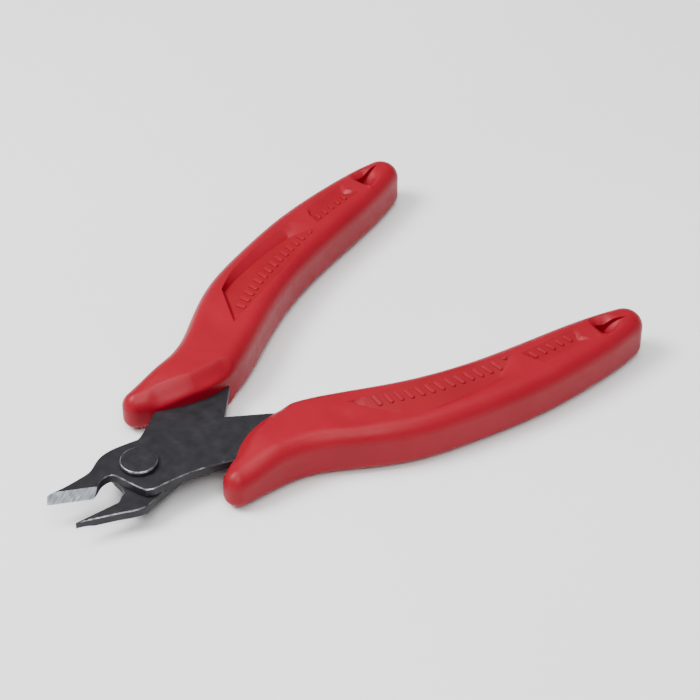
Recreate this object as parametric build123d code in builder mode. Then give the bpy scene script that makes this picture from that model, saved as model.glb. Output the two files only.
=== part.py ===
"""Flush cutter for electronics work: two lapped blade levers on a rivet, moulded grips, return spring.

Millimetres, +Z up, +X from the jaws to the handle ends. The cutter lies flat on its grips, with its
origin at the middle of its footprint, on the ground. Sketch coordinates are taken from the pivot axis.
"""

import os
from math import cos, radians, sin

from build123d import *

# Driving dimensions
overall_length = 127.0
grip_thickness = 11.0
grip_edge_radius = 2.6
plate_thickness = 2.1
lap_gap = 0.04                     # running gap between the two lapped plates
jaw_reach = 19.5                   # pivot axis to the tip of the upper jaw
closing_angle = 23.0               # handle travel from open to closed, degrees

rivet_shank_radius = 2.4
rivet_head_radius = 3.9
rivet_head_height = 1.15
rivet_head_chamfer = 0.35
rivet_running_gap = 0.05

bevel_run = 1.3                    # width of the ground bevels, seen from above
lower_edge_land = 1.0              # height of the upright land under the lower cutting edge
bevel_overrun = 2.0                # how far the grinding runs past each end of a cutting edge

spring_wire = 0.9
spring_loop_radius = 3.3
spring_leg_reach = 8.6
spring_leg_offset = 2.0
spring_hook_depth = 1.3
hook_hole_radius = 0.5
pocket_radius = 4.3
pocket_reach = 9.6
pocket_half_width = 2.9
pocket_depth = 0.6

panel_depth = 0.8
lanyard_slot_length = 1.8
lanyard_slot_width = 2.8
lanyard_ramp_depth = 2.6
relief_angle = 1.2                 # extra turn that the grips' mouths leave for the other plate
relief_gap = 0.35

lap_height = grip_thickness / 2    # height of the plane between the two plates
pivot_x = jaw_reach - overall_length / 2

# Jaws and bodies of the two levers, as (x, y) from the pivot axis
upper_tip = (-19.5, 4.9)
upper_heel = (-11.8, 0.05)
upper_throat = [upper_heel, (-10.9, 0.25), (-9.2, 1.15), (-7.4, 1.55), (-6.1, 1.2), (-5.4, -0.4),
                (-4.9, -2.8), (-4.4, -5.0), (-3.8, -6.8)]
upper_side = [(-2.4, -7.6), (1.3, -8.1), (5.1, -8.8), (8.9, -9.9), (12.7, -11.5)]
upper_back = [(22.4, -1.5), (21.2, -0.7), (16, 1.9), (10, 4.3), (4.4, 5.9)]
upper_shoulder = [(4.4, 5.9), (1.2, 6.7), (-1.8, 7.2), (-4.4, 7.0), (-6.7, 6.0), (-8.4, 5.15),
                  (-11.0, 4.9), (-15.7, 5.1), (-18.9, 5.6)]

lower_tip = (-18.4, -2.8)
lower_heel = (-9.2, -4.0)
lower_throat = [lower_heel, (-8.4, -3.75), (-7.4, -3.1), (-6.0, -2.6)]
lower_neck = [(-6.0, -2.6), (-5.4, -1.2), (-5.2, 0.6), (-4.9, 3.0), (-4.2, 5.4)]
lower_side = [(-3.0, 6.5), (1.3, 7.0), (5.8, 7.8), (8.9, 9.2), (12.7, 11.5)]
lower_back = [(23.8, 1.5), (21.0, -0.2), (16, -3.0), (10, -5.6), (4.7, -6.9)]
lower_shoulder = [(4.7, -6.9), (0, -7.75), (-3.0, -8.3), (-5.5, -8.6), (-7.6, -8.05), (-10, -6.8),
                  (-14.2, -4.75), (-17.0, -3.5), (-18.6, -3.05)]

# Tang and grip of the +Y handle; the -Y handle is its twin, turned over about the handle axis
tang_outer = [(12.7, 11.5), (20, 15), (30, 20.5), (45, 28.5), (62, 34), (78, 37.2)]
tang_inner = [(78, 33.2), (62, 28.2), (48, 21.2), (36, 12.6), (29.3, 6.6)]
grip_outer = [(90.0, 42.2), (74, 40.7), (58, 37.0), (46, 32.9), (36, 26.9), (26, 21.0)]
grip_inner = [(22, 8.3), (30.0, 7.6), (40, 11.2), (54, 18.7), (72, 25.3)]
nose_centre = (12.0, 16.0)
nose_radius = 2.9
nose_start, nose_turn = 99, 141    # where the finger guard's round nose leaves the outer side, degrees
tail_centre = (103.4, 37.7)
tail_radius = 4.1
tail_start, tail_turn = -68, 150
main_panel = [(40.8, 18.4), (46.2, 27.9), (58, 31.2), (70, 33.2), (75.6, 31.0), (71.5, 28.3), (58, 23.4)]
small_panel = [(78.2, 33.0), (79.6, 36.9), (92.2, 38.4), (92.2, 34.6)]
lanyard_start = (96.8, 34.8)       # corner of the lanyard recess, where its ramp is deepest
lanyard_end = (103.0, 38.5)


def level(height):
    """A horizontal plane on the pivot axis, at a height above the lap plane."""
    return Plane(origin=(pivot_x, 0, lap_height + height))


def flipped(points):
    """The same points on the other side of the handle axis."""
    return [(x, -y) for x, y in points]


def turned(points, angle):
    """The same points turned about the pivot axis."""
    c, s = cos(radians(angle)), sin(radians(angle))
    return [(x * c - y * s, x * s + y * c) for x, y in points]


upper_curves = [[upper_tip, upper_heel], upper_throat, [upper_throat[-1], upper_side[0]], upper_side,
                flipped(tang_outer), flipped([tang_outer[-1], tang_inner[0]]), flipped(tang_inner),
                flipped([tang_inner[-1], flipped(upper_back)[0]]), upper_back, upper_shoulder,
                [upper_shoulder[-1], upper_tip]]
lower_curves = [[lower_tip, lower_heel], lower_throat, lower_neck, [lower_neck[-1], lower_side[0]],
                lower_side, tang_outer, [tang_outer[-1], tang_inner[0]], tang_inner,
                [tang_inner[-1], lower_back[0]], lower_back, lower_shoulder,
                [lower_shoulder[-1], lower_tip]]


def outline(curves, angle=0):
    """The closed outline of a lever, turned about the pivot: a line or a smooth curve per stretch."""
    with BuildLine() as wire:
        for points in curves:
            if len(points) == 2:
                Line(*turned(points, angle))
            else:
                Spline(*turned(points, angle))
    return wire.line


def across_edge(tip, heel, inward):
    """A plane across the middle of a cutting edge: local X points into the blade, local Y up."""
    along = Vector(heel[0] - tip[0], heel[1] - tip[1], 0).normalized()
    into = Vector(-along.Y, along.X, 0) * inward
    middle = Vector(pivot_x + (tip[0] + heel[0]) / 2, (tip[1] + heel[1]) / 2, lap_height)
    return Plane(origin=middle, x_dir=into, z_dir=along * inward)


def grinding_length(tip, heel):
    """Half the length of the ground bevel along a cutting edge."""
    return Vector(heel[0] - tip[0], heel[1] - tip[1], 0).length / 2 + bevel_overrun


def spring_pocket():
    """Floor shape of the spring's pocket: round the rivet, and out along the spring's two legs."""
    with BuildSketch() as pocket:
        Circle(pocket_radius)
        with Locations((pocket_reach / 2, 0)):
            Rectangle(pocket_reach, 2 * pocket_half_width)
    return pocket.sketch


# The upper blade lever: ground jaw, lapped body and the tang of the -Y handle.
with BuildPart() as upper_blade_lever:
    with BuildSketch(level(lap_gap / 2)):
        with BuildLine():
            add(outline(upper_curves))
        make_face()
    extrude(amount=plate_thickness)
    with BuildSketch(across_edge(upper_tip, upper_heel, 1)):
        slope = plate_thickness / bevel_run
        with BuildLine():
            Polyline((-1, -slope), (bevel_run + 1, slope * (bevel_run + 1)),
                     (-3, slope * (bevel_run + 1)), (-3, -slope), close=True)
        make_face()
    extrude(amount=grinding_length(upper_tip, upper_heel), both=True, mode=Mode.SUBTRACT)
    with BuildSketch(level(0)):
        Circle(rivet_shank_radius + rivet_running_gap)
    extrude(amount=plate_thickness + 1, mode=Mode.SUBTRACT)
    with BuildSketch(level(0)):
        add(spring_pocket())
    extrude(amount=pocket_depth, mode=Mode.SUBTRACT)
    with BuildSketch(level(0)):
        with Locations((spring_leg_reach, -spring_leg_offset)):
            Circle(hook_hole_radius)
    extrude(amount=spring_hook_depth + 0.1, mode=Mode.SUBTRACT)
upper_blade_lever.part.label = "upper_blade_lever"

# The lower blade lever: jaw with an upright edge land, lapped body and the tang of the +Y handle.
with BuildPart() as lower_blade_lever:
    with BuildSketch(level(-lap_gap / 2)):
        with BuildLine():
            add(outline(lower_curves))
        make_face()
    extrude(amount=-plate_thickness)
    with BuildSketch(across_edge(lower_tip, lower_heel, -1)):
        with BuildLine():
            Polyline((0, -lower_edge_land), (bevel_run, -plate_thickness - lap_gap),
                     (bevel_run, -plate_thickness - 1), (-3, -plate_thickness - 1),
                     (-3, -lower_edge_land), close=True)
        make_face()
    extrude(amount=grinding_length(lower_tip, lower_heel), both=True, mode=Mode.SUBTRACT)
    with BuildSketch(level(0)):
        Circle(rivet_shank_radius)
    extrude(amount=-plate_thickness - 1, mode=Mode.SUBTRACT)
    with BuildSketch(level(0)):
        add(spring_pocket())
    extrude(amount=-pocket_depth, mode=Mode.SUBTRACT)
    with BuildSketch(level(0)):
        with Locations((spring_leg_reach, spring_leg_offset)):
            Circle(hook_hole_radius)
    extrude(amount=-spring_hook_depth - 0.1, mode=Mode.SUBTRACT)
lower_blade_lever.part.label = "lower_blade_lever"

# The pivot rivet: tight in the lower plate, running in the upper one, a flat head on each side.
stack_top = plate_thickness + lap_gap
stack_bottom = -plate_thickness - lap_gap / 2
with BuildPart() as pivot_rivet:
    with BuildSketch(level(stack_bottom)):
        Circle(rivet_shank_radius)
    extrude(amount=stack_top - stack_bottom)
    for start, height in ((stack_top, rivet_head_height), (stack_bottom, -rivet_head_height)):
        with BuildSketch(level(start)):
            Circle(rivet_head_radius)
        extrude(amount=height)
    rims = pivot_rivet.edges().filter_by(GeomType.CIRCLE).group_by(Axis.Z)
    chamfer(rims[0] + rims[-1], length=rivet_head_chamfer)
pivot_rivet.part.label = "pivot_rivet"

# The return spring: an open wire loop round the rivet, two legs and a hook into each lever.
loop_end_x = (spring_loop_radius**2 - spring_leg_offset**2) ** 0.5
with BuildPart() as return_spring:
    with BuildLine(level(0)) as loop:
        ThreePointArc((loop_end_x, spring_leg_offset), (-spring_loop_radius, 0),
                      (loop_end_x, -spring_leg_offset))
    with BuildSketch(Plane(origin=loop.line @ 0, z_dir=loop.line % 0)):
        Circle(spring_wire / 2)
    sweep(path=loop.line)
    for side in (-1, 1):
        leg_start = Vector(pivot_x + loop_end_x, side * spring_leg_offset, lap_height)
        with BuildSketch(Plane(origin=leg_start, z_dir=(1, 0, 0))):
            Circle(spring_wire / 2)
        extrude(amount=spring_leg_reach - loop_end_x)
        for bend in (loop_end_x, spring_leg_reach):
            with Locations((pivot_x + bend, side * spring_leg_offset, lap_height)):
                Sphere(spring_wire / 2)
        with BuildSketch(Plane(origin=(pivot_x + spring_leg_reach, side * spring_leg_offset, lap_height))):
            Circle(spring_wire / 2)
        extrude(amount=-side * spring_hook_depth)
return_spring.part.label = "return_spring"

# What both grips share: a rounded bar with recessed panels and a lanyard hole, without its lever.
with BuildPart() as grip_blank:
    with BuildSketch(level(-grip_thickness / 2)):
        with BuildLine():
            nose = CenterArc(nose_centre, nose_radius, nose_start, nose_turn)
            tail = CenterArc(tail_centre, tail_radius, tail_start, tail_turn)
            Spline(nose @ 1, *grip_inner, tail @ 0, tangents=[nose % 1, tail % 0])
            Spline(tail @ 1, *grip_outer, nose @ 0, tangents=[tail % 1, nose % 0])
        make_face()
    extrude(amount=grip_thickness)
    rims = grip_blank.edges().group_by(Axis.Z)
    fillet(rims[0] + rims[-1], radius=grip_edge_radius)
    for face in (-1, 1):
        for panel in (main_panel, small_panel):
            with BuildSketch(level(face * grip_thickness / 2)):
                with BuildLine():
                    Polyline(*panel, close=True)
                make_face()
            extrude(amount=-face * panel_depth, mode=Mode.SUBTRACT)
        ramp_plane = Plane(origin=(pivot_x, lanyard_start[1], lap_height), x_dir=(1, 0, 0), z_dir=(0, 1, 0))
        with BuildSketch(ramp_plane):
            surface = -face * grip_thickness / 2
            with BuildLine():
                Polyline((lanyard_start[0], surface), (lanyard_start[0], surface + face * lanyard_ramp_depth),
                         (lanyard_end[0], surface), close=True)
            make_face()
        extrude(amount=lanyard_end[1] - lanyard_start[1], mode=Mode.SUBTRACT)
    with BuildSketch(level(-grip_thickness / 2)):
        slot_x = lanyard_start[0] + lanyard_slot_length / 2
        slot_y = (lanyard_start[1] + lanyard_end[1]) / 2
        with Locations((slot_x, slot_y)):
            Rectangle(lanyard_slot_length, lanyard_slot_width)
    extrude(amount=grip_thickness, mode=Mode.SUBTRACT)

# The grips: the blank on each side, filled by its own tang and relieved for the other lever's swing.
with BuildPart() as grip_left:
    add(grip_blank.part)
    add(lower_blade_lever.part, mode=Mode.SUBTRACT)
    with BuildSketch(level(0)):
        with BuildLine():
            add(outline(upper_curves, closing_angle + relief_angle))
        make_face()
    extrude(amount=stack_top + relief_gap, mode=Mode.SUBTRACT)
grip_left.part.label = "grip_left"

with BuildPart() as grip_right:
    mirror(grip_blank.part, about=Plane.XZ)
    add(upper_blade_lever.part, mode=Mode.SUBTRACT)
    with BuildSketch(level(0)):
        with BuildLine():
            add(outline(lower_curves, -closing_angle - relief_angle))
        make_face()
    extrude(amount=stack_bottom - relief_gap, mode=Mode.SUBTRACT)
grip_right.part.label = "grip_right"

os.makedirs("parts", exist_ok=True)
for piece in (upper_blade_lever, lower_blade_lever, pivot_rivet, return_spring, grip_left, grip_right):
    export_step(piece.part, "parts/" + piece.part.label + ".step")
    print(piece.part.label, round(piece.part.volume, 1), piece.part.bounding_box(), len(piece.part.solids()))
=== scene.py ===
"""Flush cutter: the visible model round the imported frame. Metres, in the CAD's own frame."""
import math

import bmesh
import bpy
import numpy as np
from mathutils import Matrix, Vector
from mathutils.geometry import delaunay_2d_cdt


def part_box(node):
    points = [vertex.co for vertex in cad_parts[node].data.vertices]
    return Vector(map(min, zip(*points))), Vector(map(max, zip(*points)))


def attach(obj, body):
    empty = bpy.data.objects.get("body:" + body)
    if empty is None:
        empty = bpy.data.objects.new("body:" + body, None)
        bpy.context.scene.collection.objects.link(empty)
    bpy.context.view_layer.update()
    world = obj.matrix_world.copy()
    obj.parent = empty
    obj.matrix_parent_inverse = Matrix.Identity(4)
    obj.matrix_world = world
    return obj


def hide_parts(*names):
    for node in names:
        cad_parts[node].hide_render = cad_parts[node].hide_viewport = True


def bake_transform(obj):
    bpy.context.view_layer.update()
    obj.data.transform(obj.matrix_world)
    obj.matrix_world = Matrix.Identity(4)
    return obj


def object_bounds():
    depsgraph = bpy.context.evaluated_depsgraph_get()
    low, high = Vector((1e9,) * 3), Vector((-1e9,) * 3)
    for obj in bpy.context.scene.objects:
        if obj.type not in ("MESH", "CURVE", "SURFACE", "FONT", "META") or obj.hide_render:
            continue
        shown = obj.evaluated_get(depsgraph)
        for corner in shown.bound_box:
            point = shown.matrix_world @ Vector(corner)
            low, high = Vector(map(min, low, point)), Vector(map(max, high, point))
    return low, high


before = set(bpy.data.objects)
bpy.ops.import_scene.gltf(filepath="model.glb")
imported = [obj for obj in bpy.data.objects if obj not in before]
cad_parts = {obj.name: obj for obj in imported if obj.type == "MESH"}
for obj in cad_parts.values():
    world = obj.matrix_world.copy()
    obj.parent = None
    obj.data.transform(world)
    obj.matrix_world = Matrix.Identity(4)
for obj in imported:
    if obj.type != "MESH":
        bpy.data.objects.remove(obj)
cad_low, cad_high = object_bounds()

MM = 0.001
rivet_low, rivet_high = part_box("pivot_rivet")
PIVOT = Vector(((rivet_low[0] + rivet_high[0]) / 2, (rivet_low[1] + rivet_high[1]) / 2,
                (cad_low[2] + cad_high[2]) / 2))
GRIP_HALF = (cad_high[2] - cad_low[2]) / 2 / MM
PLATE = (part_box("upper_blade_lever")[1][2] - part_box("upper_blade_lever")[0][2]) / MM
LAP_GAP = 0.02                 # half the running gap between the plates, mm


# ---------------------------------------------------------------- curves, in mm from the pivot axis

def spline(points, start=None, end=None, step=0.25):
    """A smooth curve through the points, as a cubic spline over chord length."""
    p = np.array(points, float)
    h = np.hypot(*np.diff(p, axis=0).T)
    n = len(p)
    system, right = np.zeros((n, n)), np.zeros((n, 2))
    for i in range(1, n - 1):
        system[i, i - 1:i + 2] = 1 / h[i - 1], 2 / h[i - 1] + 2 / h[i], 1 / h[i]
        right[i] = 3 * ((p[i] - p[i - 1]) / h[i - 1] ** 2 + (p[i + 1] - p[i]) / h[i] ** 2)
    for row, near, far, gap, given in ((0, 0, 1, h[0], start), (n - 1, n - 1, n - 2, h[-1], end)):
        if given is None:
            system[row, near], system[row, far] = 2, 1
            right[row] = 3 * (p[max(near, far)] - p[min(near, far)]) / gap
        else:
            system[row, near] = 1
            right[row] = given
    slopes = np.linalg.solve(system, right)
    out = []
    for i in range(n - 1):
        t = np.linspace(0, 1, max(3, int(h[i] / step)), endpoint=False)[:, None]
        out.append((2 * t**3 - 3 * t**2 + 1) * p[i] + (t**3 - 2 * t**2 + t) * h[i] * slopes[i]
                   + (3 * t**2 - 2 * t**3) * p[i + 1] + (t**3 - t**2) * h[i] * slopes[i + 1])
    return np.vstack(out + [p[-1:]])


def arc(centre, radius, start, turn, step=5.0):
    """Points round a circle, from an angle through a turn, both in degrees."""
    angles = np.radians(np.linspace(start, start + turn, max(3, int(abs(turn) / step))))
    return np.stack([centre[0] + radius * np.cos(angles), centre[1] + radius * np.sin(angles)], 1)


def joined(*curves):
    """One closed loop from curves that meet end to end, without repeated points."""
    p = np.vstack(curves)
    keep = np.hypot(*(p - np.roll(p, 1, axis=0)).T) > 0.02
    return p[keep]


def line(a, b, step=0.3):
    """Evenly spaced points from a to b."""
    a, b = np.array(a, float), np.array(b, float)
    n = max(2, int(np.hypot(*(b - a)) / step) + 1)
    return a + (b - a) * np.linspace(0, 1, n)[:, None]


# ---------------------------------------------------------------- outlines

TANG_OUTER = [(12.7, 11.5), (20, 15), (30, 20.5), (45, 28.5), (62, 34), (78, 37.2)]
TANG_INNER = [(78, 33.2), (62, 28.2), (48, 21.2), (36, 12.6), (29.3, 6.6)]
UPPER_TIP, UPPER_HEEL = (-19.5, 4.9), (-11.8, 0.05)
LOWER_TIP, LOWER_HEEL = (-18.4, -2.8), (-9.2, -4.0)


def upper_outline():
    """Outline of the upper blade lever."""
    throat = [UPPER_HEEL, (-10.9, 0.25), (-9.2, 1.15), (-7.4, 1.55), (-6.1, 1.2), (-5.4, -0.4),
              (-4.9, -2.8), (-4.4, -5.0), (-3.8, -6.8)]
    side = [(-2.4, -7.6), (1.3, -8.1), (5.1, -8.8), (8.9, -9.9), (12.7, -11.5)]
    back = [(22.4, -1.5), (21.2, -0.7), (16, 1.9), (10, 4.3), (4.4, 5.9)]
    shoulder = [(4.4, 5.9), (1.2, 6.7), (-1.8, 7.2), (-4.4, 7.0), (-6.7, 6.0), (-8.4, 5.15),
                (-11.0, 4.9), (-15.7, 5.1), (-18.9, 5.6)]
    outer, inner = np.array(TANG_OUTER) * (1, -1), np.array(TANG_INNER) * (1, -1)
    return joined(line(UPPER_TIP, UPPER_HEEL), spline(throat), line(throat[-1], side[0]), spline(side),
                  spline(outer), line(outer[-1], inner[0]), spline(inner), line(inner[-1], back[0]),
                  spline(back), spline(shoulder), line(shoulder[-1], UPPER_TIP))


def lower_outline():
    """Outline of the lower blade lever."""
    throat = [LOWER_HEEL, (-8.4, -3.75), (-7.4, -3.1), (-6.0, -2.6)]
    neck = [(-6.0, -2.6), (-5.4, -1.2), (-5.2, 0.6), (-4.9, 3.0), (-4.2, 5.4)]
    side = [(-3.0, 6.5), (1.3, 7.0), (5.8, 7.8), (8.9, 9.2), (12.7, 11.5)]
    back = [(23.8, 1.5), (21.0, -0.2), (16, -3.0), (10, -5.6), (4.7, -6.9)]
    shoulder = [(4.7, -6.9), (0, -7.75), (-3.0, -8.3), (-5.5, -8.6), (-7.6, -8.05), (-10, -6.8),
                (-14.2, -4.75), (-17.0, -3.5), (-18.6, -3.05)]
    return joined(line(LOWER_TIP, LOWER_HEEL), spline(throat), spline(neck), line(neck[-1], side[0]),
                  spline(side), spline(TANG_OUTER), line(TANG_OUTER[-1], TANG_INNER[0]),
                  spline(TANG_INNER), line(TANG_INNER[-1], back[0]), spline(back), spline(shoulder),
                  line(shoulder[-1], LOWER_TIP))


def grip_outline():
    """Outline of the +Y grip, counter-clockwise from the finger guard's nose."""
    nose = arc((12.0, 16.0), 2.9, 99, 141)
    tail = arc((103.4, 37.7), 4.1, -68, 150)
    inner = [nose[-1], (22, 8.3), (30.0, 7.6), (40, 11.2), (54, 18.7), (72, 25.3), tail[0]]
    outer = [tail[-1], (90.0, 42.2), (74, 40.7), (58, 37.0), (46, 32.9), (36, 26.9), (26, 21.0), nose[0]]
    directions = [(math.cos(math.radians(a)), math.sin(math.radians(a))) for a in (-30, 22, 172, 189)]
    return joined(nose, spline(inner, directions[0], directions[1]), tail,
                  spline(outer, directions[2], directions[3]))


# ---------------------------------------------------------------- geometry helpers

def distance(points, loop):
    """Distance from each point to a closed loop."""
    a, b = loop, np.roll(loop, -1, axis=0)
    ab = b - a
    best = np.full(len(points), np.inf)
    length = np.maximum((ab**2).sum(1), 1e-12)
    for start in range(0, len(points), 2000):
        p = points[start:start + 2000, None, :]
        t = np.clip(((p - a) * ab).sum(2) / length, 0, 1)
        gap = p - (a + ab * t[..., None])
        best[start:start + 2000] = np.sqrt((gap**2).sum(2).min(1))
    return best


def inside(points, loop):
    """Which points lie inside a closed loop."""
    a, b = loop, np.roll(loop, -1, axis=0)
    out = np.zeros(len(points), bool)
    for start in range(0, len(points), 4000):
        p = points[start:start + 4000]
        above = (a[None, :, 1] > p[:, None, 1]) != (b[None, :, 1] > p[:, None, 1])
        rise = np.where(b[:, 1] == a[:, 1], 1e-12, b[:, 1] - a[:, 1])
        cross = a[None, :, 0] + (p[:, None, 1] - a[None, :, 1]) * (b - a)[None, :, 0] / rise[None, :]
        out[start:start + 4000] = (above & (p[:, None, 0] < cross)).sum(1) % 2 == 1
    return out


def smooth(x):
    """Smooth step from 0 at x = 0 to 1 at x = 1."""
    x = np.clip(x, 0, 1)
    return x * x * (3 - 2 * x)


def inward(loop):
    """The direction into a closed loop at each of its points."""
    tangent = np.roll(loop, -1, axis=0) - np.roll(loop, 1, axis=0)
    tangent /= np.hypot(*tangent.T)[:, None]
    area = (loop[:, 0] * np.roll(loop[:, 1], -1) - np.roll(loop[:, 0], -1) * loop[:, 1]).sum()
    return np.stack([-tangent[:, 1], tangent[:, 0]], 1) * np.sign(area)


def shrunk(loop, gap):
    """The loop moved inward by a gap, without the points that end up nearer to it than the gap."""
    moved = loop + inward(loop) * gap
    return moved[distance(moved, loop) > gap * 0.97]


def grown(loop, gap):
    """The loop moved outward by a gap."""
    return loop - inward(loop) * gap


def to_line(x, y, points):
    """Distance from each point to an open line."""
    best = np.full(len(x), np.inf)
    for (ax, ay), (bx, by) in zip(points[:-1], points[1:]):
        dx, dy = bx - ax, by - ay
        t = np.clip(((x - ax) * dx + (y - ay) * dy) / max(dx * dx + dy * dy, 1e-12), 0, 1)
        best = np.minimum(best, np.hypot(x - ax - t * dx, y - ay - t * dy))
    return best


def closed(loop):
    """A closed loop as a line that ends where it starts."""
    return np.vstack([loop, loop[:1]])


def dense(points, step=0.4):
    """An open line with points added along its straight stretches."""
    points = np.array(points, float)
    parts = [line(a, b, step)[:-1] for a, b in zip(points[:-1], points[1:])]
    return np.vstack(parts + [points[-1:]])


def offset(points, gap):
    """An open line moved to its right by a gap, without the points that come nearer to it."""
    tangent = np.gradient(points, axis=0)
    tangent /= np.hypot(*tangent.T)[:, None]
    moved = points + np.stack([tangent[:, 1], -tangent[:, 0]], 1) * gap
    return moved[to_line(moved[:, 0], moved[:, 1], points) > gap * 0.97]


def shrunk_corners(loop, gap):
    """A polygon with its sides moved inward by a gap."""
    out = []
    n = len(loop)
    for i in range(n):
        a, b, c = loop[i - 1], loop[i], loop[(i + 1) % n]
        before, after = (b - a) / np.hypot(*(b - a)), (c - b) / np.hypot(*(c - b))
        n1, n2 = np.array([-before[1], before[0]]), np.array([-after[1], after[0]])
        out.append(b + (n1 + n2) * gap / (1 + n1 @ n2))
    return np.array(out)


def mesh_piece(name, verts, faces):
    """A new piece from points in mm from the pivot axis."""
    mesh = bpy.data.meshes.new(name)
    mesh.from_pydata((np.array(verts) * MM + np.array(PIVOT)).tolist(), [], faces)
    piece = bpy.data.objects.new(name, mesh)
    bpy.context.scene.collection.objects.link(piece)
    return piece


RIM = 0.15                     # the strip along an outline with the finest points
RIM_LIMIT, RING_LIMIT = 0.012, 0.09           # how near two points may be there, and on the rings


def slab(name, loops, top, bottom, rings, spacing, creases=()):
    """A solid between two height fields over a region: an outline with holes, given in mm.

    rings are the distances from the outlines where extra points give the rounded edges their shape,
    and creases are open lines that the mesh follows. Elsewhere the points are spacing apart.
    """
    points, edges = [], []
    for loop in loops:
        n = sum(len(p) for p in points)
        points.append(loop)
        edges += [(n + i, n + (i + 1) % len(loop)) for i in range(len(loop))]
    for crease in creases:
        n = sum(len(p) for p in points)
        points.append(crease)
        edges += [(n + i, n + i + 1) for i in range(len(crease) - 1)]
    fixed = np.vstack(points)
    extra = []
    for loop, solid in zip(loops, [True] + [False] * (len(loops) - 1)):
        for gap in rings:
            extra.append(shrunk(loop, gap) if solid else grown(loop, gap))
    low, high = loops[0].min(0), loops[0].max(0)
    gx, gy = np.meshgrid(np.arange(low[0], high[0], spacing), np.arange(low[1], high[1], spacing * 0.87))
    gx = gx + (np.arange(len(gx)) % 2)[:, None] * spacing / 2
    extra.append(np.stack([gx.ravel(), gy.ravel()], 1))
    cloud = np.vstack(extra)
    cloud = cloud[inside(cloud, loops[0])]
    for loop in loops[1:]:
        cloud = cloud[~inside(cloud, loop)]
    gap = np.min([distance(cloud, loop) for loop in loops], axis=0)
    last_ring = max(rings)
    kept, cells = [], set()
    for i in np.argsort(gap):
        if gap[i] < RIM:
            limit = RIM_LIMIT
        else:
            limit = RING_LIMIT if gap[i] < last_ring else spacing * 0.5
        key = (round(cloud[i, 0] / limit), round(cloud[i, 1] / limit), round(limit, 3))
        if key in cells or gap[i] < 0.01:
            continue
        cells.add(key)
        kept.append(cloud[i])
    allpoints = np.vstack([fixed, np.array(kept)])
    result = delaunay_2d_cdt([Vector(p) for p in allpoints], edges, [], 0, 1e-5)
    flat = np.array([tuple(v) for v in result[0]])
    faces = [f for f in result[2] if len(f) == 3]
    centres = np.array([flat[list(f)].mean(0) for f in faces])
    keep = inside(centres, loops[0])
    for loop in loops[1:]:
        keep &= ~inside(centres, loop)
    faces = [f for f, k in zip(faces, keep) if k]
    used = sorted({i for f in faces for i in f})
    renumber = {old: new for new, old in enumerate(used)}
    flat = flat[used]
    faces = [tuple(renumber[i] for i in f) for f in faces]
    turn = []
    for f in faces:
        a, b, c = flat[list(f)]
        turn.append(f if (b[0] - a[0]) * (c[1] - a[1]) > (b[1] - a[1]) * (c[0] - a[0]) else f[::-1])
    faces = turn
    gap = np.min([distance(flat, loop) for loop in loops], axis=0)
    gap[gap < 0.004] = 0
    z_top, z_bottom = top(flat[:, 0], flat[:, 1], gap), bottom(flat[:, 0], flat[:, 1], gap)
    n = len(flat)
    verts = np.vstack([np.column_stack([flat, z_top]), np.column_stack([flat, z_bottom])])
    seen = {}
    for f in faces:
        for a, b in ((f[0], f[1]), (f[1], f[2]), (f[2], f[0])):
            seen[(a, b)] = True
    walls = [(a + n, b + n, b, a) for a, b in seen if (b, a) not in seen]
    mesh = bpy.data.meshes.new(name)
    world = verts * MM + np.array(PIVOT)
    mesh.from_pydata(world.tolist(), [], faces + [tuple(i + n for i in f[::-1]) for f in faces] + walls)
    mesh.update()
    piece = bpy.data.objects.new(name, mesh)
    bpy.context.scene.collection.objects.link(piece)
    return piece


def finish_surface(piece, materials, sharp=35):
    """Smooth shading with creases over an angle, and the piece's materials."""
    for each in materials:
        piece.data.materials.append(each)
    piece.data.shade_smooth()
    piece.data.set_sharp_from_angle(angle=math.radians(sharp))
    modifier = piece.modifiers.new("even_normals", "WEIGHTED_NORMAL")
    modifier.keep_sharp = True


# ---------------------------------------------------------------- materials

def material(name, base, roughness, metallic=0.0, specular=0.5):
    """A new material with its shader's values set; returns it with its tree and shader."""
    made = bpy.data.materials.new(name)
    made.use_nodes = True
    tree = made.node_tree
    shader = tree.nodes["Principled BSDF"]
    shader.inputs["Base Color"].default_value = (*base, 1)
    shader.inputs["Roughness"].default_value = roughness
    shader.inputs["Metallic"].default_value = metallic
    shader.inputs["Specular IOR Level"].default_value = specular
    return made, tree, shader


def noise(tree, scale, detail=4.0, stretch=(1, 1, 1), turn=0.0):
    """Noise over object space, stretched along an axis turned about +Z."""
    coordinate = tree.nodes.new("ShaderNodeTexCoord")
    mapping = tree.nodes.new("ShaderNodeMapping")
    mapping.inputs["Rotation"].default_value = (0, 0, turn)
    mapping.inputs["Scale"].default_value = stretch
    texture = tree.nodes.new("ShaderNodeTexNoise")
    texture.inputs["Scale"].default_value = scale
    texture.inputs["Detail"].default_value = detail
    tree.links.new(coordinate.outputs["Object"], mapping.inputs["Vector"])
    tree.links.new(mapping.outputs["Vector"], texture.inputs["Vector"])
    return texture.outputs["Fac"]


def ramp(tree, source, stops, target):
    """A colour ramp from a source to a socket; stops are (position, grey or colour)."""
    node = tree.nodes.new("ShaderNodeValToRGB")
    elements = node.color_ramp.elements
    while len(elements) < len(stops):
        elements.new(0.5)
    for element, (place, value) in zip(elements, stops):
        element.position = place
        element.color = (*value, 1) if isinstance(value, tuple) else (value, value, value, 1)
    tree.links.new(source, node.inputs["Fac"])
    tree.links.new(node.outputs["Color"], target)


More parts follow.
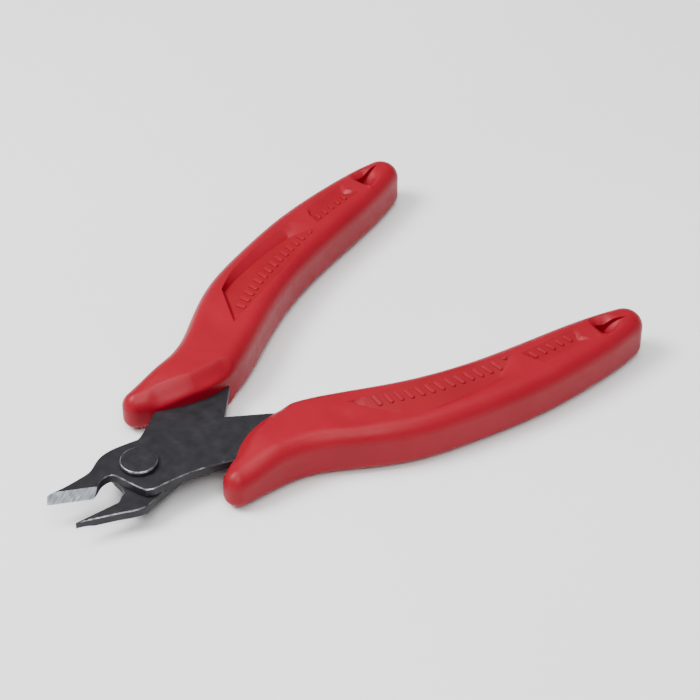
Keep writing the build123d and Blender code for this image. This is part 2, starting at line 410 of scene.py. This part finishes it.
def bump(tree, shader, source, depth, strength=1.0, below=None):
    """Relief of a depth in metres from a source, on top of any relief below it."""
    node = tree.nodes.new("ShaderNodeBump")
    node.inputs["Strength"].default_value = strength
    node.inputs["Distance"].default_value = depth
    tree.links.new(source, node.inputs["Height"])
    if below is not None:
        tree.links.new(below, node.inputs["Normal"])
    tree.links.new(node.outputs["Normal"], shader.inputs["Normal"])
    return node.outputs["Normal"]


def linear(r, g, b):
    """Linear colour from 8-bit display values."""
    return tuple((c / 255 / 12.92) if c / 255 <= 0.04045 else ((c / 255 + 0.055) / 1.055) ** 2.4
                 for c in (r, g, b))


def grip_plastic():
    """Satin moulded red plastic with faint flow variation and a fine orange-peel surface."""
    made, tree, shader = material("grip_plastic", (0.25, 0.0042, 0.0135), 0.44, specular=0.16)
    ramp(tree, noise(tree, 70, 4), [(0.35, (0.235, 0.004, 0.0128)), (0.65, (0.262, 0.0048, 0.015))],
         shader.inputs["Base Color"])
    ramp(tree, noise(tree, 420, 4), [(0.3, 0.36), (0.7, 0.47)], shader.inputs["Roughness"])
    peel = bump(tree, shader, noise(tree, 2600, 2), 0.00001, 0.35)
    bump(tree, shader, noise(tree, 260, 3), 0.00003, 0.3, peel)
    return made


def panel_plastic_with_painted_shade():
    """The same plastic on the sunk panels' floors: duller, as the mould leaves it, and a little darker,
    which is painted shade for the recess.
    """
    made, tree, shader = material("grip_plastic_panel_painted_shade", (0.22, 0.003, 0.0095), 0.52, specular=0.16)
    ramp(tree, noise(tree, 90, 4), [(0.35, (0.205, 0.0027, 0.0088)), (0.65, (0.235, 0.0034, 0.0105))],
         shader.inputs["Base Color"])
    ramp(tree, noise(tree, 500, 4), [(0.3, 0.46), (0.7, 0.58)], shader.inputs["Roughness"])
    bump(tree, shader, noise(tree, 1500, 4), 0.00002, 0.4)
    return made


def black_oxide():
    """Black oxide steel: dark and matte, with a mottled sheen and fine scratches."""
    made, tree, shader = material("blade_steel", linear(37, 36, 40), 0.5, 0.5)
    ramp(tree, noise(tree, 420, 6), [(0.3, linear(31, 30, 34)), (0.55, linear(37, 36, 40)),
                                     (0.8, linear(45, 44, 49))], shader.inputs["Base Color"])
    ramp(tree, noise(tree, 500, 5), [(0.3, 0.42), (0.7, 0.58)], shader.inputs["Roughness"])
    pits = bump(tree, shader, noise(tree, 1800, 5), 0.00001, 0.4)
    bump(tree, shader, noise(tree, 300, 2, (1, 9, 1), 0.6), 0.00001, 0.2, pits)
    return made


def ground_steel():
    """Bright ground steel with grinding streaks across the cutting edge."""
    made, tree, shader = material("blade_steel_ground", linear(190, 195, 203), 0.34, 0.9)
    streaks = noise(tree, 260, 5, (1, 14, 1), -0.55)
    ramp(tree, streaks, [(0.3, linear(150, 155, 164)), (0.5, linear(196, 201, 210)),
                         (0.7, linear(232, 236, 242))], shader.inputs["Base Color"])
    ramp(tree, noise(tree, 700, 4), [(0.3, 0.28), (0.7, 0.48)], shader.inputs["Roughness"])
    bump(tree, shader, streaks, 0.00003, 0.5)
    return made


def wear_and_highlight_steel():
    """Edges where the black finish has rubbed off, with dark flecks left in it; its brightness is partly
    painted highlight on the chamfers.
    """
    made, tree, shader = material("blade_steel_wear_and_highlight", linear(150, 150, 156), 0.36, 0.9)
    ramp(tree, noise(tree, 700, 5), [(0.34, linear(70, 69, 74)), (0.5, linear(112, 112, 118)),
                                     (0.7, linear(160, 161, 167))], shader.inputs["Base Color"])
    ramp(tree, noise(tree, 900, 3), [(0.3, 0.3), (0.7, 0.5)], shader.inputs["Roughness"])
    bump(tree, shader, noise(tree, 2200, 4), 0.00001, 0.4)
    return made


def rivet_steel():
    """The rivet's darkened steel: turned face, even and a little smoother than the levers."""
    made, tree, shader = material("rivet_steel", linear(39, 38, 43), 0.45, 0.5)
    ramp(tree, noise(tree, 800, 6), [(0.3, linear(34, 33, 37)), (0.7, linear(44, 43, 48))],
         shader.inputs["Base Color"])
    ramp(tree, noise(tree, 600, 4), [(0.3, 0.38), (0.7, 0.54)], shader.inputs["Roughness"])
    bump(tree, shader, noise(tree, 1600, 4), 0.000015, 0.4)
    return made


def spring_steel():
    """Drawn spring wire with fine variation."""
    made, tree, shader = material("spring_steel", linear(170, 171, 175), 0.3, 0.95)
    ramp(tree, noise(tree, 1200, 4), [(0.3, linear(140, 141, 146)), (0.7, linear(186, 187, 191))],
         shader.inputs["Base Color"])
    ramp(tree, noise(tree, 800, 3), [(0.3, 0.24), (0.7, 0.4)], shader.inputs["Roughness"])
    bump(tree, shader, noise(tree, 2400, 3), 0.000008, 0.3)
    return made


RED, PANEL_WITH_PAINTED_SHADE, DARK, GROUND = grip_plastic(), panel_plastic_with_painted_shade(), black_oxide(), ground_steel()
WEAR_AND_HIGHLIGHT, RIVET, SPRING = wear_and_highlight_steel(), rivet_steel(), spring_steel()
for node, made in (("upper_blade_lever", DARK), ("lower_blade_lever", DARK), ("pivot_rivet", RIVET),
                   ("return_spring", SPRING), ("grip_left", RED), ("grip_right", RED)):
    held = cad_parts[node].data.materials
    held.clear()
    held.append(made)


# ---------------------------------------------------------------- blade levers

CHAMFER = 0.2                  # the plates' chamfered edges, rubbed and with painted highlight in places
POCKET_DEPTH = 0.6             # the spring's pocket in each plate
BEVEL_RUN = 1.3                # width of the ground bevel, seen from above
OVERRUN = 2                    # how far the grinding runs past each end of a cutting edge


def edge_distance(x, y, tip, heel, side):
    """Distance into the blade from the line of a cutting edge."""
    along = np.array(heel) - np.array(tip)
    along /= np.hypot(*along)
    return ((x - tip[0]) * -along[1] + (y - tip[1]) * along[0]) * side


def pocket_loop(grow=0.0):
    """Outline of the spring's pocket: round the rivet, with a straight part along the spring's legs."""
    reach, half, radius = 9.6 + grow, 2.9 + grow, 4.3 + grow
    angle = math.degrees(math.asin(half / radius))
    return np.vstack([arc((0, 0), radius, angle, 360 - 2 * angle, 6), [(reach, -half), (reach, half)]])


def plate(name, node, body, outline, edge, land, hole_radius, side, bright):
    """A blade lever: lapped plate with rubbed edges carrying painted highlight, a ground cutting edge and a
    rivet hole.

    side is +1 for the plate above the lap plane, land is the height of the upright part of the cutting
    edge, and bright says which stretches of rim take the bright steel, rubbed and with painted highlight.
    """
    tip, heel = edge
    hole = arc((0, 0), hole_radius, 0, 360, 7)[:-1]
    length = math.dist(tip, heel)
    direction = (np.array(heel) - np.array(tip)) / length
    normal = np.array([-direction[1], direction[0]]) * side
    places = np.linspace(-OVERRUN, length + OVERRUN, 45)
    far = np.array([tip + direction * s + normal * BEVEL_RUN for s in places])
    far = far[inside(far, outline)]
    pocket = pocket_loop()

    def outer(x, y, d):
        """The face away from the lap plane."""
        height = PLATE - np.clip(CHAMFER - d, 0, CHAMFER)
        along = (x - tip[0]) * direction[0] + (y - tip[1]) * direction[1]
        ground = land + (PLATE - land) * edge_distance(x, y, tip, heel, side) / BEVEL_RUN
        height = np.where(along < length + OVERRUN, np.minimum(height, np.maximum(ground, 0.02)), height)
        return side * (LAP_GAP + height)

    def inner(x, y, d):
        """The face on the lap plane, with the spring's pocket."""
        softened = np.clip(CHAMFER - d, 0, CHAMFER) * np.clip(to_line(x, y, [tip, heel]) / 0.8, 0, 1)
        into = np.column_stack([x, y])
        sunk = np.where(inside(into, pocket), np.clip(distance(into, pocket) / 0.04, 0, 1), 0)
        return side * (LAP_GAP + np.maximum(softened, POCKET_DEPTH * sunk))

    top, bottom = (outer, inner) if side > 0 else (inner, outer)
    piece = slab(name, [outline, hole], top, bottom, (CHAMFER / 2, CHAMFER), 0.8,
                 [far, closed(pocket), closed(pocket_loop(-0.04))])
    finish_surface(piece, [DARK, GROUND, WEAR_AND_HIGHLIGHT], 20)
    mesh = piece.data
    centres = (np.array([polygon.center for polygon in mesh.polygons]) - np.array(PIVOT)) / MM
    normals = np.array([polygon.normal for polygon in mesh.polygons])
    rim = distance(centres[:, :2], outline)
    into = edge_distance(centres[:, 0], centres[:, 1], tip, heel, side)
    leaning = normals[:, :2] @ normal < -0.3
    ground = (into < BEVEL_RUN + 0.02) & leaning & (centres[:, 0] < heel[0] + OVERRUN)
    ground &= normals[:, 2] * side > 0.2
    tilted = (np.abs(normals[:, 2]) > 0.3) & (np.abs(normals[:, 2]) < 0.95)
    # Rim faces on the bright stretches take the bright steel: rubbed finish and painted highlight together.
    wear_and_highlight = (rim < CHAMFER) & tilted & ~ground & bright(centres)
    for chosen, index in ((ground, 1), (wear_and_highlight, 2)):
        for face in np.nonzero(chosen)[0]:
            mesh.polygons[face].material_index = index
    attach(piece, body)
    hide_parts(node)


def upper_wear_and_highlight(c):
    """Where the upper lever's rim is bright, rubbed and with painted highlight: along the throat and round
    the neck's corner.
    """
    return (c[:, 2] > 0) & (((c[:, 0] > -11) & (c[:, 0] < 9) & (c[:, 1] < 1.9)) | (c[:, 0] < -18.3))


def lower_wear_and_highlight(c):
    """Where the lower lever's rim is bright, rubbed and with painted highlight: along the outer side of its
    jaw.
    """
    return (c[:, 0] < 0) & (c[:, 1] < -3.3)


# ---------------------------------------------------------------- rivet and spring

def swept(rings):
    """Faces of a skin over a row of rings with the same number of points, without end caps."""
    n = len(rings[0])
    verts = [tuple(p) for ring in rings for p in ring]
    faces = [(a * n + i, a * n + (i + 1) % n, (a + 1) * n + (i + 1) % n, (a + 1) * n + i)
             for a in range(len(rings) - 1) for i in range(n)]
    return verts, faces


def rivet():
    """The rivet: a shank and two flat heads with softly rounded rims, rubbed and with painted highlight."""
    head, soft, steps = 3.9, 0.42, 96
    low, high = PLATE + LAP_GAP + 0.02, PLATE + LAP_GAP + 1.17
    rim = [(head - soft + soft * math.sin(a), high - soft + soft * math.cos(a))
           for a in np.linspace(0, math.pi / 2, 9)]
    upper = [(0.01, high), (1.3, high), (2.5, high)] + rim
    upper += [(head, low + 0.06), (head - 0.06, low), (2.38, low)]
    profile = upper + [(r, LAP_GAP - z) for r, z in reversed(upper)]
    turns = np.radians(np.arange(steps) * 360 / steps)
    rings = [[(r * math.cos(a), r * math.sin(a), z) for a in -turns] for r, z in profile]
    verts, faces = swept(rings)
    faces.append(tuple(range(steps))[::-1])
    faces.append(tuple(range(len(verts) - steps, len(verts))))
    piece = mesh_piece("rivet_shape", verts, faces)
    finish_surface(piece, [RIVET, WEAR_AND_HIGHLIGHT], 30)
    # The heads' rim chamfers take the bright steel: rubbed finish and painted highlight together.
    for polygon in piece.data.polygons:
        centre = (polygon.center - PIVOT) / MM
        if math.hypot(centre.x, centre.y) > head - soft * 0.8 and 0.25 < abs(polygon.normal.z) < 0.9:
            polygon.material_index = 1
    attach(piece, "left_half")
    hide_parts("pivot_rivet")


def spring():
    """The return spring: an open loop of wire round the rivet, two legs and a hook into each lever."""
    radius, half, reach, hook, wire = 3.3, 2.0, 8.6, 1.2, 0.42
    angle = math.degrees(math.asin(half / radius))
    loop = arc((0, 0), radius, angle, 360 - 2 * angle, 5)
    path = [(reach, half, -hook), (reach, half, -0.3), (reach - 0.3, half, 0)]
    path += [(reach - 2.5, half, 0)] + [(x, y, 0) for x, y in loop] + [(reach - 2.5, -half, 0)]
    path += [(reach - 0.3, -half, 0), (reach, -half, 0.3), (reach, -half, hook)]
    path = np.array(path)
    rings, side = [], np.array([0, 1.0, 0])
    for i, point in enumerate(path):
        along = path[min(i + 1, len(path) - 1)] - path[max(i - 1, 0)]
        along /= np.linalg.norm(along)
        side = side - along * (side @ along)
        side /= np.linalg.norm(side)
        up = np.cross(along, side)
        rings.append([point + wire * (math.cos(a) * side + math.sin(a) * up)
                      for a in np.linspace(0, 2 * math.pi, 14, endpoint=False)])
    verts, faces = swept(rings)
    faces += [tuple(range(14))[::-1], tuple(range(len(verts) - 14, len(verts)))]
    piece = mesh_piece("return_spring_shape", verts, faces)
    finish_surface(piece, [SPRING], 40)
    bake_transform(piece)
    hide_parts("return_spring")


# ---------------------------------------------------------------- grips

TOP_EDGE, BOTTOM_EDGE = 3.5, 2.4              # radii of a grip's long edges, above and below
TOP_NOSE, BOTTOM_NOSE = 1.9, 0.3              # how far the nose thins out above and below
FACE = GRIP_HALF - 0.15        # half the thickness at the flat faces, below the raised marks
MAIN_DEPTH, SMALL_DEPTH = 1.35, 0.85          # of the sunk panels at their outer side
WALL_RUN = 0.8                 # width of the main panel's slanted front wall
MAIN_FRONT = line((40.5, 17.5), (46, 28), 0.4)
MAIN_FOOT = spline([(46, 28), (52, 29.8), (58, 31.2), (64, 32.3), (70, 33)], step=0.4)
MAIN_CREST = spline([(46, 28), (52, 31.4), (58, 33.3), (64, 34.8), (70.5, 35.7)], step=0.4)
MAIN_BLEND = spline([(40.5, 17.5), (58, 23.4), (71.5, 28.3), (75.8, 30.3)], step=0.4)
MAIN_FLOOR = np.vstack([MAIN_FRONT[:-1], MAIN_FOOT, MAIN_BLEND[::-1]])
MAIN_BAND = np.vstack([MAIN_FOOT, MAIN_CREST[::-1]])
END_FOOT = [(70, 33), (75.8, 30.3)]
END_TOP = [(70.5, 35.7), (73, 36.3), (76.8, 31), (75.8, 30.3)]
SMALL_FOOT = [(78.3, 35.0), (91, 36.4)]
SMALL_TOP = [(79.4, 37.2), (92.2, 38.7)]
SMALL_BLEND = [(77.6, 31.4), (92.4, 33.6)]
SMALL_ENDS = [[SMALL_BLEND[end], SMALL_FOOT[end], SMALL_TOP[end]] for end in (0, 1)]
LIP = [(15, 11), (22, 8.3), (30, 7.6)]        # the edge that lies over the blade levers
LIP_WIDTH, LIP_DROP, LIP_SHARPER = 3.6, 2.1, 2.0
RIDGE_HEIGHT = 0.15
RIDGE = [(96.1, 33.2), (94.3, 38.8)]
LANYARD_DEPTH, LANYARD_WALL = 2.6, 0.08
LANYARD = np.array([(97.2, 34.9), (103.0, 38.5), (96.7, 38.6)])
LANYARD_HOLE = np.array([(97.35, 35.7), (98.4, 36.3), (98.4, 37.8), (97.1, 37.9)])
SWING = 24.2                   # a little more than the joint's whole travel, in degrees
MARK_ROW = spline([(45.6, 21.2), (52, 24.3), (59, 26.9), (66, 29.0), (71.4, 30.4)], step=0.2)


def between(x, y, low, high):
    """0 on the line low, 1 on the line high, and even in between."""
    a, b = to_line(x, y, low), to_line(x, y, high)
    return a / (a + b + 1e-9)


def region(x, y, loop):
    """Which points are inside a loop, its outline included."""
    p, loop = np.column_stack([x, y]), np.array(loop, float)
    return inside(p, loop) | (distance(p, loop) < 1e-4)


def main_depth(x, y):
    """Depth of the tilted main panel: none on its inner side, deepest along its outer wall."""
    return MAIN_DEPTH * between(x, y, MAIN_BLEND, np.vstack([MAIN_FRONT, MAIN_FOOT[1:]]))


def recess(x, y):
    """Depth of a grip's sunk panels, lanyard ramp and shallow saddle below its flat face."""
    p = np.column_stack([x, y])
    main = main_depth(x, y)
    front = np.clip(to_line(x, y, MAIN_FRONT) / WALL_RUN, 0, 1)
    depth = np.where(region(x, y, MAIN_FLOOR), main * front, 0)
    end = END_FOOT[:1] + END_TOP
    for loop, crest, foot in ((MAIN_BAND, MAIN_CREST, MAIN_FOOT), (end, END_TOP, END_FOOT)):
        depth = np.maximum(depth, np.where(region(x, y, loop), main * between(x, y, crest, foot), 0))
    ends = np.clip(to_line(x, y, SMALL_ENDS[0]) / 0.5, 0, 1)
    ends = ends * np.clip(to_line(x, y, SMALL_ENDS[1]) / 0.8, 0, 1)
    for high in (SMALL_BLEND, SMALL_TOP):
        sloped = SMALL_DEPTH * ends * between(x, y, high, SMALL_FOOT)
        depth = np.maximum(depth, np.where(region(x, y, high + SMALL_FOOT[::-1]), sloped, 0))
    lanyard = LANYARD_DEPTH * (1 - (x - 96.7) / 6.3) * np.clip(distance(p, LANYARD) / LANYARD_WALL, 0, 1)
    depth = np.maximum(depth, np.where(inside(p, LANYARD), lanyard, 0))
    saddle = 0.4 * np.exp(-((x - 37.5) / 3) ** 2 - ((y - 21 - 0.5 * (x - 37.5)) / 3.4) ** 2)
    return depth + saddle


def ridge(x, y):
    """Height of the thin raised line across the grip."""
    return RIDGE_HEIGHT * np.clip(1.4 - to_line(x, y, RIDGE) / 0.45, 0, 1)


def grip_height(x, y, d, edge, nose, lip_drop):
    """Height of a grip's face over the lap plane: a flat face with sunk panels, a raised line across
    it and rounded long edges. The face drops towards its nose and towards its lip."""
    near_lip = smooth(1 - to_line(x, y, LIP) / LIP_WIDTH)
    edge = edge - LIP_SHARPER * near_lip
    rounded = edge - np.sqrt(np.maximum(edge ** 2 - (edge - np.minimum(d, edge)) ** 2, 0))
    dropped = nose * smooth((22 - x) / 11) + lip_drop * near_lip
    return FACE - rounded - dropped - recess(x, y) + ridge(x, y) * (d > 1)


def marks():
    """Centres, directions, lengths and half widths of the short raised ribs on the panels."""
    found = []
    length = np.concatenate([[0], np.cumsum(np.hypot(*np.diff(MARK_ROW, axis=0).T))])
    for place in np.linspace(0, length[-1], 13):
        i = min(int(np.searchsorted(length, place)), len(MARK_ROW) - 1)
        along = MARK_ROW[i] - MARK_ROW[i - 1] if i else MARK_ROW[1] - MARK_ROW[0]
        found.append((MARK_ROW[i], math.atan2(along[1], along[0]) + math.radians(68), 2.9, 0.5))
    found.append((np.array((74.0, 30.1)), 0.0, 1.0, 0.5))
    for place in np.linspace(0.12, 0.74, 5):
        centre = np.array(SMALL_BLEND[0]) * (1 - place) + np.array(SMALL_BLEND[1]) * place + (0.1, 1.7)
        found.append((centre, math.radians(75), 2.2, 0.45))
    return found


def grip(name, node, body, side, other, swing):
    """A moulded grip. side is +1 for the +Y one; other is the lever that swings into its mouth."""
    outline = grip_outline()
    rings = [TOP_EDGE * (1 - math.cos(math.radians(a))) for a in (7, 14, 22, 30, 38, 46, 56, 66, 78, 90)]
    creases = [MAIN_FRONT, offset(MAIN_FRONT, WALL_RUN), MAIN_FOOT, MAIN_CREST, MAIN_BLEND, dense(END_FOOT)]
    creases += [dense(END_FOOT[:1] + END_TOP), dense(SMALL_FOOT), dense(SMALL_TOP), dense(SMALL_BLEND)]
    creases += [dense(end) for end in SMALL_ENDS]
    creases += [dense(closed(LANYARD)), dense(closed(shrunk_corners(LANYARD, LANYARD_WALL)))]
    creases += [dense(np.array(RIDGE) + (s, 0)) for s in (-0.63, -0.18, 0.18, 0.63)]
    corners = zip(LANYARD_HOLE, np.roll(LANYARD_HOLE, -1, axis=0))
    hole = joined(*[line(a, b, 0.25)[:-1] for a, b in corners])
    piece = slab(name, [outline, hole],
                 lambda x, y, d: grip_height(x, y, d, TOP_EDGE, TOP_NOSE, LIP_DROP),
                 lambda x, y, d: -grip_height(x, y, d, BOTTOM_EDGE, BOTTOM_NOSE, 0), rings, 0.5, creases)
    if side < 0:
        piece.data.transform(mirror_matrix())
        piece.data.flip_normals()
    relieve(piece, other, swing, side)
    small_floor = np.array(SMALL_BLEND + SMALL_FOOT[::-1])
    for polygon in piece.data.polygons:
        centre = (polygon.center - PIVOT) / MM
        at = np.array([centre.x]), np.array([centre.y * side])
        # Flat faces on the panels' floors take the duller plastic, whose darker colour is painted shade for
        # the recess.
        if abs(polygon.normal.z) > 0.9 and 40 < centre.x < 93:
            polygon.material_index = int(region(*at, MAIN_FLOOR)[0] or region(*at, small_floor)[0])
    add_marks(piece, side)
    finish_surface(piece, [RED, PANEL_WITH_PAINTED_SHADE], 24)
    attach(piece, body)
    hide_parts(node)


def mirror_matrix():
    """The mirror image about the plane through the handle axis."""
    across = Matrix.Scale(-1, 4, (0, 1, 0))
    return Matrix.Translation((0, PIVOT.y, 0)) @ across @ Matrix.Translation((0, -PIVOT.y, 0))


def add_marks(piece, side):
    """Adds the short raised ribs to both faces of a grip."""
    shape = bmesh.new()
    shape.from_mesh(piece.data)
    for centre, angle, length, half in marks():
        along = np.array([math.cos(angle), math.sin(angle)])
        across = np.array([-along[1], along[0]])
        for face in (1, -1):
            rings = []
            for radius, raised in ((half, -0.3), (half, 0.16), (half - 0.14, 0.3), (half * 0.3, 0.32)):
                ring = []
                for i in range(16):
                    turn = 2 * math.pi * i / 16
                    end = length / 2 - half if math.cos(turn) > 0 else half - length / 2
                    flat = centre + along * (end + radius * math.cos(turn))
                    flat = flat + across * radius * math.sin(turn)
                    height = FACE - recess(np.array([flat[0]]), np.array([flat[1]]))[0] + raised
                    place = Vector((flat[0], flat[1] * side, face * min(height, GRIP_HALF)))
                    ring.append(shape.verts.new(place * MM + PIVOT))
                rings.append(ring)
            for lower, upper in zip(rings[:-1], rings[1:]):
                for i in range(16):
                    quad = [lower[i], lower[(i + 1) % 16], upper[(i + 1) % 16], upper[i]]
                    shape.faces.new(quad if face * side > 0 else quad[::-1])
            shape.faces.new(rings[-1] if face * side > 0 else rings[-1][::-1])
            shape.faces.new(rings[0][::-1] if face * side > 0 else rings[0])
    shape.to_mesh(piece.data)
    shape.free()


def relieve(piece, other, swing, side):
    """Cuts the slot that the other lever swings into when the handles close."""
    c, s = math.cos(math.radians(swing)), math.sin(math.radians(swing))
    turned = other @ np.array([[c, s], [-s, c]])
    n = len(turned)
    low, high = (-0.02, PLATE + 0.4) if side > 0 else (-PLATE - 0.4, 0.02)
    verts = [(x, y, low) for x, y in turned] + [(x, y, high) for x, y in turned]
    faces = [tuple(range(n))[::-1], tuple(range(n, 2 * n))]
    faces += [(i, (i + 1) % n, (i + 1) % n + n, i + n) for i in range(n)]
    cutter = mesh_piece("relief_cutter", verts, faces)
    shape = bmesh.new()
    shape.from_mesh(cutter.data)
    bmesh.ops.recalc_face_normals(shape, faces=shape.faces)
    shape.to_mesh(cutter.data)
    shape.free()
    cut = piece.modifiers.new("relief", "BOOLEAN")
    cut.operation, cut.solver, cut.object = "DIFFERENCE", "EXACT", cutter
    bpy.context.view_layer.update()
    depsgraph = bpy.context.evaluated_depsgraph_get()
    done = bpy.data.meshes.new_from_object(piece.evaluated_get(depsgraph))
    piece.modifiers.clear()
    piece.data = done
    bpy.data.objects.remove(cutter)


plate("upper_blade_lever_shape", "upper_blade_lever", "right_half", upper_outline(),
      (UPPER_TIP, UPPER_HEEL), 0.0, 2.45, 1, upper_wear_and_highlight)
plate("lower_blade_lever_shape", "lower_blade_lever", "left_half", lower_outline(),
      (LOWER_TIP, LOWER_HEEL), 1.0, 2.4, -1, lower_wear_and_highlight)
rivet()
spring()
grip("grip_left_shape", "grip_left", "left_half", 1, upper_outline(), SWING)
grip("grip_right_shape", "grip_right", "right_half", -1, lower_outline(), -SWING)


# ---------------------------------------------------------------- floor, light and camera

def floor():
    """A plain pale floor under the cutter."""
    shape = bmesh.new()
    bmesh.ops.create_grid(shape, x_segments=4, y_segments=4, size=3.0)
    mesh = bpy.data.meshes.new("floor")
    shape.to_mesh(mesh)
    shape.free()
    piece = bpy.data.objects.new("floor", mesh)
    bpy.context.scene.collection.objects.link(piece)
    piece.location.z = cad_low[2] - 0.0001
    made, tree, shader = material("floor", (0.9, 0.9, 0.9), 0.9)
    ramp(tree, noise(tree, 8, 2), [(0.3, 0.83), (0.7, 0.87)], shader.inputs["Base Color"])
    mesh.materials.append(made)


def area_light(name, place, target, size, power):
    """A soft square light aimed at a point."""
    data = bpy.data.lights.new(name, "AREA")
    data.shape, data.size, data.energy = "SQUARE", size, power
    light = bpy.data.objects.new(name, data)
    light.location = place
    light.rotation_euler = (Vector(target) - Vector(place)).to_track_quat("-Z", "Y").to_euler()
    bpy.context.scene.collection.objects.link(light)


def camera():
    """The photographed view: from the jaws' side, 40 degrees above the bench."""
    data = bpy.data.cameras.new("camera")
    data.lens, data.sensor_width = 111.4, 36
    data.clip_start, data.clip_end = 0.05, 20
    made = bpy.data.objects.new("camera", data)
    target = PIVOT + Vector((56.59, -1.48, 0)) * MM
    azimuth, elevation, away = math.radians(43.36), math.radians(40.15), 463.5 * MM
    back = Vector((-math.sin(azimuth) * math.cos(elevation), -math.cos(azimuth) * math.cos(elevation),
                   math.sin(elevation)))
    made.location = target + back * away
    made.rotation_euler = (-back).to_track_quat("-Z", "Y").to_euler()
    bpy.context.scene.collection.objects.link(made)
    bpy.context.scene.camera = made


floor()
world = bpy.data.worlds.new("studio")
world.use_nodes = True
world.node_tree.nodes["Background"].inputs["Color"].default_value = (1, 1, 1, 1)
world.node_tree.nodes["Background"].inputs["Strength"].default_value = 0.32
bpy.context.scene.world = world
area_light("key", (-0.38, 0.3, 0.65), (0, 0, 0), 0.35, 9.5)
area_light("overhead", (0.0, 0.0, 0.9), (0, 0, 0), 0.6, 6)
area_light("front", (-0.3, -0.42, 0.72), (0, 0, 0), 0.4, 4.5)
camera()
